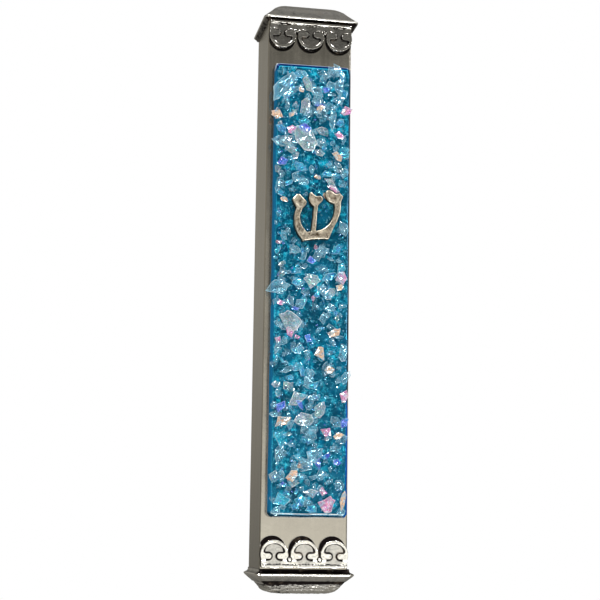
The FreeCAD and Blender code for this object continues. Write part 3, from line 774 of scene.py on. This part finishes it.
def flake_template(draw, corners, folds, dome, stretch=1.0):
    """A thin broken flake about one unit across, faceted and folded along a few straight creases. Its tone,
    which the glass paints as a highlight, runs up to 1 at the rim. Its front is at negative y."""
    sectors = 2 * corners
    angles = [(i + draw.uniform(-0.3, 0.3)) / corners * 2 * math.pi for i in range(corners)]
    reach = [draw.uniform(0.32, 0.52) for _ in angles]
    outline = np.array([(r * math.cos(a) * stretch, r * math.sin(a)) for r, a in zip(reach, angles)])
    middles = (outline + np.roll(outline, -1, 0)) / 2
    middles = middles * np.array([[draw.uniform(0.88, 1.08)] for _ in angles])
    ring = np.stack([outline, middles], 1).reshape(-1, 2)
    creases = []
    for _ in range(folds):
        angle = draw.uniform(0, math.pi)
        creases.append((math.cos(angle), math.sin(angle), draw.uniform(-0.2, 0.2), draw.uniform(-0.5, 0.5)))
    scales = [0.0, 0.48, 0.87, 1.0]
    rings = len(scales) - 1
    flat = np.concatenate([np.zeros((1, 2))] + [ring * scale for scale in scales[1:]])
    rho = np.concatenate([[0.0]] + [np.full(sectors, scale) for scale in scales[1:]])
    lift = dome * (1 - rho**2)
    for cu, cv, offset, pitch in creases:
        lift = lift + pitch * np.abs(flat[:, 0] * cu + flat[:, 1] * cv - offset)
    lift = lift + np.array([draw.uniform(-0.07, 0.07) for _ in flat]) * (rho < 0.6)
    tone = np.array([draw.uniform(0.45, 1.0) if r == 1.0 else draw.uniform(-0.1, 0.25) for r in rho])
    skin = 0.08 * np.sqrt(np.maximum(1 - rho**2, 0.0)) + 0.02
    front = np.stack([flat[:, 0], -(lift + skin), flat[:, 1]], 1)
    back = np.stack([flat[:, 0], -(lift - skin), flat[:, 1]], 1)
    count = len(flat)
    faces = []
    for i in range(sectors):
        j = (i + 1) % sectors
        faces.append((0, 1 + i, 1 + j))
        for k in range(rings - 1):
            a = 1 + k * sectors
            faces.append((a + i, a + sectors + i, a + sectors + j, a + j))
    faces += [tuple(p + count for p in reversed(face)) for face in faces]
    a = 1 + (rings - 1) * sectors
    for i in range(sectors):
        j = (i + 1) % sectors
        faces.append((a + i, a + i + count, a + j + count, a + j))
    return np.concatenate([front, back]), faces, np.concatenate([tone, tone])


def templates(draw):
    """The stock of chip shapes: thin plates, folded flakes, curved shells, long blades, lumps and grains."""
    return {
        "plate": [flake_template(draw, draw.choice((4, 5, 6)), 1, 0.03) for _ in range(10)],
        "flake": [flake_template(draw, draw.choice((4, 5, 6)), 3, 0.10) for _ in range(16)],
        "shell": [flake_template(draw, draw.choice((6, 7, 8)), 2, 0.26) for _ in range(8)],
        "blade": [flake_template(draw, draw.choice((5, 6)), 2, 0.20, 1.1) for _ in range(8)],
        "lump": [flake_template(draw, draw.choice((4, 5, 6)), 4, 0.34) for _ in range(12)],
        "grain": [flake_template(draw, draw.choice((3, 4)), 2, 0.25) for _ in range(16)],
    }


class Heap:
    """Chips of one material, gathered into one piece."""

    def __init__(self):
        self.points = []
        self.faces = []
        self.tones = []
        self.count = 0

    def add(self, shape, place, size, turn, tilt=(0.0, 0.0)):
        """Puts a shape in. place is (x, lift above the resin, z) in mm, size (length, thickness, width)."""
        points, faces, tone = shape
        spin = Quaternion((0, 1, 0), -math.radians(turn))
        lean = Quaternion((1, 0, 0), math.radians(tilt[0])) @ Quaternion((0, 0, 1), math.radians(tilt[1]))
        matrix = np.array((spin @ lean).to_matrix())
        p = (points * np.array(size)) @ matrix.T + np.array([place[0], resin_y - place[1], place[2]])
        self.points.append(p)
        self.tones.append(tone)
        self.faces += [tuple(i + self.count for i in face) for face in faces]
        self.count += len(p)

    def build(self, name, material, node, slot):
        """The heap as a piece that replaces a CAD node."""
        return piece(name, np.concatenate(self.points), self.faces, material, "case", replaced=(node,),
                     smooth=False, tone=np.concatenate(self.tones))


CHIP_STRETCH = 1.25       # of the lengths in the table below
CHIP_WIDENING = 1.3       # and of its widths
CHIP_SINK = 0.1           # how far a chip is set below its height in the table

# Larger chips by colour: shape, place across and up the panel, length, width, turn in degrees, height above
# the resin, all in mm.
CHIPS = {
    "clear": [
        ("blade", -7.3, 50.1, 9.6, 3.0, 57, 0.9), ("blade", -5.2, 48.6, 5.0, 1.6, 40, 1.3),
        ("lump", 3.0, 54.2, 3.0, 2.2, 15, 0.5), ("lump", 5.0, 54.8, 2.8, 2.0, -20, 0.5),
        ("flake", 1.2, 49.4, 3.6, 2.6, -50, 0.7), ("lump", 1.4, 47.3, 3.2, 2.4, 70, 0.7),
        ("shell", 7.0, 50.6, 4.6, 2.2, 85, 1.0), ("lump", 6.8, 47.0, 3.0, 2.4, 20, 0.8),
        ("blade", 5.2, 42.6, 5.4, 1.9, 84, 0.9), ("lump", 4.9, 45.8, 3.0, 2.2, 5, 0.7),
        ("lump", 0.4, 44.6, 2.6, 2.2, 0, 0.6), ("lump", 1.9, 43.6, 2.4, 2.0, 60, 0.6),
        ("shell", -7.9, -0.8, 5.6, 3.2, 12, 0.8), ("flake", -2.3, -4.8, 3.2, 2.4, 30, 0.6),
        ("blade", 3.7, -2.0, 4.4, 1.6, -48, 0.8), ("shell", 8.6, -16.1, 4.2, 2.0, 80, 0.8),
        ("shell", 9.2, -22.4, 3.4, 1.9, 60, 1.0), ("shell", 1.8, -41.2, 6.2, 2.8, 35, 0.9),
        ("blade", -0.8, -42.6, 4.6, 1.5, -25, 0.9), ("lump", 7.9, -48.2, 2.8, 2.2, 70, 0.7),
        ("lump", 8.3, -54.6, 2.0, 1.8, 0, 0.3), ("blade", -8.3, 25.0, 3.8, 1.4, 75, 0.6),
        ("shell", 8.4, 28.6, 3.0, 1.8, 60, 0.7), ("blade", -5.0, -20.6, 3.6, 1.3, 20, 0.6),
        ("shell", 8.3, 14.6, 3.6, 2.2, -70, 0.7), ("flake", -3.6, 8.6, 2.8, 1.8, 20, 0.5),
        ("blade", -7.6, -15.2, 3.4, 1.2, 70, 0.6), ("flake", 0.6, -21.8, 2.6, 1.8, 80, 0.5),
        ("lump", -7.6, -46.8, 2.6, 2.0, 40, 0.4), ("shell", -1.8, 25.8, 3.0, 1.6, 10, 0.5),
    ],
    "aqua": [
        ("flake", 3.3, 50.2, 2.8, 1.8, 20, 0.4), ("flake", -1.9, 41.4, 2.8, 1.7, 12, 0.5),
        ("flake", -3.2, 0.9, 2.8, 2.2, 30, 0.6), ("plate", -6.5, -37.3, 4.8, 3.6, 65, 0.4),
        ("flake", 8.0, 33.2, 2.4, 1.8, 0, 0.4), ("plate", -3.0, 53.4, 4.2, 2.2, -12, 0.3),
        ("flake", -3.0, 29.8, 3.2, 2.2, -30, 0.5), ("plate", 1.5, -24.4, 3.4, 2.0, 40, 0.4),
        ("plate", -6.2, -51.6, 4.0, 3.0, 15, 0.4), ("flake", -8.2, 8.5, 2.6, 1.7, 80, 0.5),
        ("flake", 4.2, 28.4, 3.2, 2.0, 15, 0.5), ("plate", 6.6, 9.2, 3.4, 2.4, 25, 0.4),
        ("flake", -5.6, 25.6, 2.4, 1.8, 50, 0.4), ("plate", -2.6, -16.2, 3.0, 2.0, -30, 0.4),
        ("flake", 1.2, -54.0, 3.0, 1.8, 5, 0.4), ("flake", 7.2, 54.4, 2.8, 1.8, -20, 0.4),
    ],
    "rose": [
        ("flake", 8.8, 44.6, 3.0, 2.0, 35, 0.8), ("flake", 7.8, 2.2, 4.0, 3.0, 60, 0.8),
        ("flake", -7.0, -4.4, 2.2, 1.4, 20, 0.5), ("lump", 4.9, -53.0, 4.4, 3.2, 25, 0.6),
        ("plate", 4.7, -35.6, 3.4, 2.4, -40, 0.7), ("lump", 3.9, -49.8, 2.0, 1.8, 0, 0.7),
        ("flake", 8.9, -27.0, 3.0, 1.9, 80, 0.7), ("flake", 7.2, 38.4, 3.0, 1.8, -50, 0.5),
        ("plate", -5.2, 39.0, 3.0, 2.0, 10, 0.6), ("flake", 6.0, 24.4, 3.4, 1.6, -25, 0.6),
        ("flake", -4.8, -11.6, 2.6, 1.6, -60, 0.9),
    ],
    "amber": [
        ("flake", -8.6, 42.7, 3.6, 2.4, -12, 0.8), ("flake", -5.1, 43.1, 2.2, 1.5, 60, 0.6),
        ("flake", 6.2, -11.6, 3.4, 2.3, 30, 0.7), ("plate", 2.8, -16.7, 3.8, 2.8, -60, 0.7),
        ("flake", 5.3, -20.5, 2.8, 2.2, 20, 0.7), ("plate", -3.7, -46.3, 3.0, 2.0, 50, 0.8),
        ("blade", 8.9, -51.7, 4.2, 1.3, 78, 0.7), ("flake", 7.7, -36.4, 3.0, 1.8, 20, 0.6),
        ("flake", -2.9, 49.2, 1.7, 1.5, 30, 1.4), ("flake", 7.4, -0.2, 2.6, 1.8, 10, 1.0),
        ("flake", 3.8, 22.6, 1.8, 1.3, -30, 0.5), ("plate", 6.6, 33.0, 2.8, 1.8, -50, 0.7),
    ],
    "opal": [
        ("shell", -1.5, 37.0, 6.6, 4.2, -58, 1.0), ("flake", -6.1, 36.2, 4.6, 3.0, 25, 0.7),
        ("shell", 0.5, 1.2, 3.8, 3.4, 0, 0.8), ("shell", -4.7, -9.0, 6.6, 4.0, -45, 0.9),
        ("plate", -2.2, -27.4, 5.4, 3.4, 20, 0.8), ("shell", 3.0, -30.2, 4.0, 2.6, 70, 0.8),
        ("shell", -0.9, -32.8, 4.2, 2.8, 0, 0.8), ("lump", 0.9, -50.4, 3.4, 2.2, 10, 0.6),
        ("flake", -1.2, 50.9, 4.6, 2.2, -58, 1.0), ("plate", -1.6, 45.2, 3.8, 2.4, 82, 0.7),
        ("lump", -5.2, 33.9, 3.4, 2.0, 8, 0.6), ("flake", 5.6, -1.6, 2.6, 1.8, 40, 0.6),
        ("lump", 2.2, 33.6, 2.6, 2.0, 0, 0.5), ("plate", 5.2, 26.0, 3.6, 1.8, -35, 0.8),
        ("lump", -7.9, -24.4, 2.4, 1.8, 30, 0.5),
    ],
    "violet": [
        ("flake", 8.8, -33.2, 2.8, 1.9, 75, 0.7), ("flake", 3.6, 49.8, 2.2, 1.6, 10, 0.9),
        ("shell", -1.6, 39.4, 3.0, 2.0, -20, 0.9), ("flake", -7.2, 30.8, 2.6, 1.9, 30, 0.5),
        ("flake", 0.4, 6.4, 2.8, 1.8, 10, 0.6), ("plate", -6.9, -29.6, 3.0, 2.0, 60, 0.5),
        ("flake", 0.0, -13.0, 2.8, 1.8, -30, 0.5), ("flake", -3.6, -5.9, 2.0, 1.5, 30, 0.5),
        ("flake", 7.4, -42.8, 2.4, 1.8, 0, 0.6),
    ],
}


def on_letter(x, z, margin):
    """True over the letter's own metal, grown by a margin."""
    u = (x - LETTER_PLACE[0]) * math.cos(LETTER_TURN) + (z - LETTER_PLACE[1]) * math.sin(LETTER_TURN)
    v = (z - LETTER_PLACE[1]) * math.cos(LETTER_TURN) - (x - LETTER_PLACE[0]) * math.sin(LETTER_TURN)
    return float(outline_distance(np.array([u]), np.array([v]), LETTER_OUTLINE)[0]) < margin


def scatter(heaps, shapes, draw):
    """Smaller chips and granules over the whole panel, from a jittered grid."""
    layers = [  # grid step, share left empty, smallest and largest size, then colours and shapes by weight
        (0.92, 0.58, 0.5, 1.1, [("granules", "grain", 7), ("aqua", "grain", 3), ("violet", "grain", 0.3)]),
        (1.9, 0.35, 1.4, 3.2, [("clear", "flake", 6), ("clear", "lump", 2), ("aqua", "flake", 3),
                                ("clear", "blade", 2), ("opal", "plate", 1), ("violet", "flake", 0.5),
                                ("rose", "plate", 0.5), ("amber", "plate", 0.4)]),
    ]
    inset = 0.9
    for step, empty, small, large, kinds in layers:
        columns = int((slab_high.x - slab_low.x - 2 * inset) / step)
        rows = int((slab_high.z - slab_low.z - 2 * inset) / step)
        for index in range(rows * columns):
            x = slab_low.x + inset + step * (index % columns + draw.uniform(0, 1))
            z = slab_low.z + inset + step * (index // columns + draw.uniform(0, 1))
            colour, kind, _ = draw.choices(kinds, [k[2] for k in kinds])[0]
            shape = draw.choice(shapes[kind])
            size = small + (large - small) * draw.random() ** 1.6
            turn = draw.uniform(0, 360)
            tilt = (draw.uniform(-24, 24), draw.uniform(-24, 24))
            length = size * draw.uniform(1.0, 1.8)
            lift = draw.uniform(0.0, 0.3)
            if draw.random() > empty and not on_letter(x, z, 0.5 * size):
                heaps[colour].add(shape, (x, lift, z), (length, size, size), turn, tilt)


def glass_panel():
    """All the chips set in the panel, one piece for each colour."""
    draw = random.Random(7)
    shapes = templates(draw)
    heaps = {colour: Heap() for colour in CHIPS}
    heaps["granules"] = Heap()
    scatter(heaps, shapes, draw)
    for colour, chips in CHIPS.items():
        for kind, x, z, length, width, turn, lift in chips:
            tilt = (draw.uniform(-9, 9), draw.uniform(-9, 9))
            size = (length * CHIP_STRETCH, 0.5 + 0.45 * width, width * CHIP_WIDENING)
            heaps[colour].add(draw.choice(shapes[kind]), (x, lift - CHIP_SINK, z), size, turn, tilt)
    icy = (0.78, 0.95, 1.0)
    pearl = (1.0, 0.95, 0.96)
    # The rim's colour is the colour of the painted rim highlights, crease glints and milky patches.
    glasses = {  # how solid the middle and rim are, the rim's colour, and the tints
        "clear": (0.08, 0.92, icy, [(0.1, 0.5, 0.7), (0.35, 0.7, 0.85), (0.15, 0.55, 0.75), (0.5, 0.6, 0.8)]),
        "granules": (0.10, 0.85, icy, [(0.0, 0.45, 0.75), (0.15, 0.7, 0.9), (0.0, 0.3, 0.7),
                                       (0.03, 0.8, 0.9)]),
        "aqua": (0.35, 0.85, icy, [(0.0, 0.30, 0.5), (0.0, 0.65, 0.85), (0.0, 0.12, 0.65),
                                   (0.03, 0.85, 0.9)]),
        "rose": (0.50, 0.97, pearl, [(0.8, 0.1, 0.5), (0.95, 0.7, 0.75), (0.4, 0.6, 0.9), (0.9, 0.3, 0.35),
                                     (0.6, 0.15, 0.8)]),
        "amber": (0.50, 0.97, pearl, [(0.95, 0.25, 0.08), (1.0, 0.85, 0.6), (0.3, 0.6, 0.85), (1.0, 0.5, 0.2),
                                      (0.85, 0.9, 0.7)]),
        "opal": (0.15, 0.95, pearl, [(0.2, 0.6, 0.8), (0.75, 0.65, 0.75), (0.2, 0.8, 0.55), (0.55, 0.55, 0.9),
                                     (0.85, 0.85, 0.6)]),
        "violet": (0.50, 0.88, icy, [(0.0, 0.03, 0.65), (0.03, 0.12, 0.8), (0.0, 0.3, 0.8), (0.2, 0.1, 0.8)]),
    }
    for colour, (body, rim, edge, tints) in glasses.items():
        glass = chip_glass(f"{colour}_art_glass", body, rim, tints, edge)
        loose = colour == "granules"
        node = "clear_glass_granules" if loose else f"{colour}_glass_chips"
        slot = "clear_glass" if loose else f"{colour}_glass"
        heaps[colour].build(colour if loose else f"{colour}_chips", glass, node, slot)


# ---- carried-over CAD nodes ----


def finish_node(name, material, bevel_mm=0.0):
    """Gives a CAD node its material and, where asked, a small edge rounding."""
    node = NODES[name]
    node.data.materials.clear()
    node.data.materials.append(material)
    if bevel_mm:
        rounding = node.modifiers.new("edge", "BEVEL")
        rounding.width = bevel_mm * MM
        rounding.segments = 2
        rounding.limit_method = "ANGLE"
        rounding.angle_limit = math.radians(35)
        rounding.harden_normals = True


# ---- camera, lights and surroundings ----


CAMERA_PLACE = (-0.0642, -0.3487, -0.0588)   # metres, like the aim
CAMERA_AIM = (-0.0017, -0.017, -0.0032)
CAMERA_ROLL = 0.79                           # degrees


def camera():
    """Long lens, left of the front and below the middle, looking slightly up."""
    data = bpy.data.cameras.new("camera")
    data.lens = 83.5
    data.sensor_width = 36.0
    data.clip_start = 0.01  # metres
    made = bpy.data.objects.new("camera", data)
    made.location = CAMERA_PLACE
    roll = Quaternion((0, 0, 1), math.radians(CAMERA_ROLL))
    made.rotation_mode = "QUATERNION"
    made.rotation_quaternion = (Vector(CAMERA_AIM) - made.location).to_track_quat("-Z", "Y") @ roll
    bpy.context.scene.collection.objects.link(made)
    bpy.context.scene.camera = made


def area_light(name, place, width, height, power):
    """A soft rectangular light aimed at the origin. Place, width and height are in metres, power in watts."""
    data = bpy.data.lights.new(name, "AREA")
    data.shape = "RECTANGLE"
    data.size = width
    data.size_y = height
    data.energy = power
    made = bpy.data.objects.new(name, data)
    made.location = place
    made.rotation_euler = (-Vector(place)).to_track_quat("-Z", "Y").to_euler()
    bpy.context.scene.collection.objects.link(made)


# Brightness of what the metal reflects, from straight below (0) to straight above (1).
GLOW_IN_FRONT = [(0.0, 0.10), (0.22, 0.18), (0.33, 1.4), (0.44, 1.4), (0.505, 1.03), (0.56, 0.46),
                 (0.60, 0.25), (0.67, 0.14), (0.85, 0.12), (1.0, 0.18)]
GLOW_BEHIND = [(0.30, 0.22), (0.47, 0.15), (0.58, 0.33), (0.66, 0.29), (0.76, 0.15), (1.0, 0.12)]


def surroundings():
    """White to the camera. For reflections: bright low in front, dark above, dim behind."""
    world = bpy.data.worlds.new("studio")
    bpy.context.scene.world = world
    world.use_nodes = True
    nodes = world.node_tree.nodes
    link = world.node_tree.links.new
    nodes.clear()
    axes = nodes.new("ShaderNodeSeparateXYZ")
    link(nodes.new("ShaderNodeTexCoord").outputs["Generated"], axes.inputs[0])

    def along(axis, low, high):
        """0 to 1 as the direction's share along an axis goes from low to high."""
        share = nodes.new("ShaderNodeMapRange")
        share.inputs["From Min"].default_value = low
        share.inputs["From Max"].default_value = high
        link(axes.outputs[axis], share.inputs["Value"])
        return share.outputs["Result"]

    def glow(levels, tint):
        """Brightness by height, tinted."""
        ramp = nodes.new("ShaderNodeValToRGB")
        fill_ramp(ramp.color_ramp, [(at, tuple(level * part for part in tint)) for at, level in levels])
        link(height, ramp.inputs["Fac"])
        return ramp.outputs["Color"]

    height = along("Z", -1.0, 1.0)
    blend = nodes.new("ShaderNodeMix")
    blend.data_type = "RGBA"
    link(along("Y", -0.9, -0.35), blend.inputs[0])
    link(glow(GLOW_IN_FRONT, (1, 0.99, 0.93)), blend.inputs[6])
    link(glow(GLOW_BEHIND, (1, 0.96, 0.855)), blend.inputs[7])
    seen = nodes.new("ShaderNodeBackground")
    seen.inputs["Color"].default_value = (1, 1, 1, 1)
    mirrored = nodes.new("ShaderNodeBackground")
    link(blend.outputs[2], mirrored.inputs["Color"])
    choose = nodes.new("ShaderNodeMixShader")
    link(nodes.new("ShaderNodeLightPath").outputs["Is Camera Ray"], choose.inputs[0])
    link(mirrored.outputs[0], choose.inputs[1])
    link(seen.outputs[0], choose.inputs[2])
    link(choose.outputs[0], nodes.new("ShaderNodeOutputWorld").inputs["Surface"])


def lights():
    """Soft key from the upper left, a low fill, and small hard lights that make the glass sparkle."""
    for lamp in (("key", (-0.30, -0.50, 0.75), 0.30, 0.20, 8), ("low_fill", (0.25, -0.55, -0.70), 0.3, 0.3, 4),
                 ("sparkle_high", (0.40, -0.40, 0.60), 0.06, 0.10, 3),
                 ("sparkle_low", (-0.40, -0.45, -0.65), 0.06, 0.10, 2),
                 ("sparkle_right", (0.65, -0.35, 0.15), 0.05, 0.20, 2)):
        area_light(*lamp)


# ---- build ----

LETTER_OUTLINE = letter_outline()

camera()
lights()
surroundings()

nickel = satin_nickel()
pewter = antique_pewter("antique_pewter", (0.012, 0.009, 0.009), (0.95, 0.925, 0.865), 0.006)
# A darker copy of the pewter for the top frieze: painted shade.
shaded_pewter = antique_pewter("shaded_pewter", (0.010, 0.009, 0.008), (0.54, 0.52, 0.48), 0.004, 0.25, 0.18)
letter_pewter = antique_pewter("letter_pewter", (0.07, 0.05, 0.03), (0.60, 0.53, 0.42), 0.016, 0.5, 0.32, 0.7)
aluminium = grained("mill_aluminium", [(0.3, (0.60, 0.61, 0.62)), (0.7, (0.74, 0.75, 0.76))],
                    dict(scale=120), dict(scale=2400, stretch=(1, 1, 0.02)), (0.28, 0.42), 0.01, Metallic=1.0)
parchment = grained("parchment_skin", [(0.3, (0.70, 0.55, 0.34)), (0.55, (0.80, 0.68, 0.47)),
                                       (0.8, (0.86, 0.77, 0.60))],
                    dict(scale=260, detail=6.0, roughness=0.6), dict(scale=4200, detail=3.0),
                    (0.55, 0.72), 0.02, Subsurface_Weight=0.1, Subsurface_Scale=0.0006)
drawn = dict(scale=1500, detail=2.0, stretch=(1, 1, 0.03))
tube = grained("clear_plastic", [(0.3, (0.93, 0.96, 0.97)), (0.7, (0.98, 0.99, 1.0))], drawn, drawn,
               (0.03, 0.10), Transmission_Weight=0.95, IOR=1.45)
moulded = dict(scale=3000, detail=3.0)
plastic = grained("milky_plastic", [(0.3, (0.74, 0.75, 0.73)), (0.7, (0.83, 0.84, 0.82))], moulded, moulded,
                  (0.38, 0.5), 0.01, Subsurface_Weight=0.3, Subsurface_Scale=0.001)
fibres = dict(scale=3800, detail=6.0, roughness=0.75, distortion=1.5)
felt = grained("grey_felt", [(0.3, (0.05, 0.05, 0.055)), (0.7, (0.14, 0.14, 0.15))], fibres, fibres,
               None, 0.12, Sheen_Weight=0.4, Roughness=0.95)

finish_node("case_channel", nickel)
finish_node("back_plate", aluminium, 0.1)
finish_node("panel_foil", blue_foil())
finish_node("parchment_scroll", parchment)
finish_node("scroll_sleeve", tube)
finish_node("sleeve_bottom_plug", plastic, 0.15)
finish_node("sleeve_top_plug", plastic, 0.15)
finish_node("felt_pad", felt, 0.2)

end_cap("cast_top_cap", "top_cap", TOP_PROFILE, 9.0, 0.0, pewter)
end_cap("cast_bottom_cap", "bottom_cap", BOTTOM_PROFILE, 3.5, 0.10, pewter)
frieze("lobed_top_frieze", 1, "top_frieze", 64.2, (0.0, 0.7), 0.65, shaded_pewter)
frieze("lobed_bottom_frieze", -1, "bottom_frieze", 64.7, (-0.4, 1.0), 1.0, pewter)
shin_letter(letter_pewter)
resin_slab(teal_resin())
glass_panel()

scene = bpy.context.scene
scene.view_settings.view_transform = "Standard"
scene.cycles.use_denoising = True
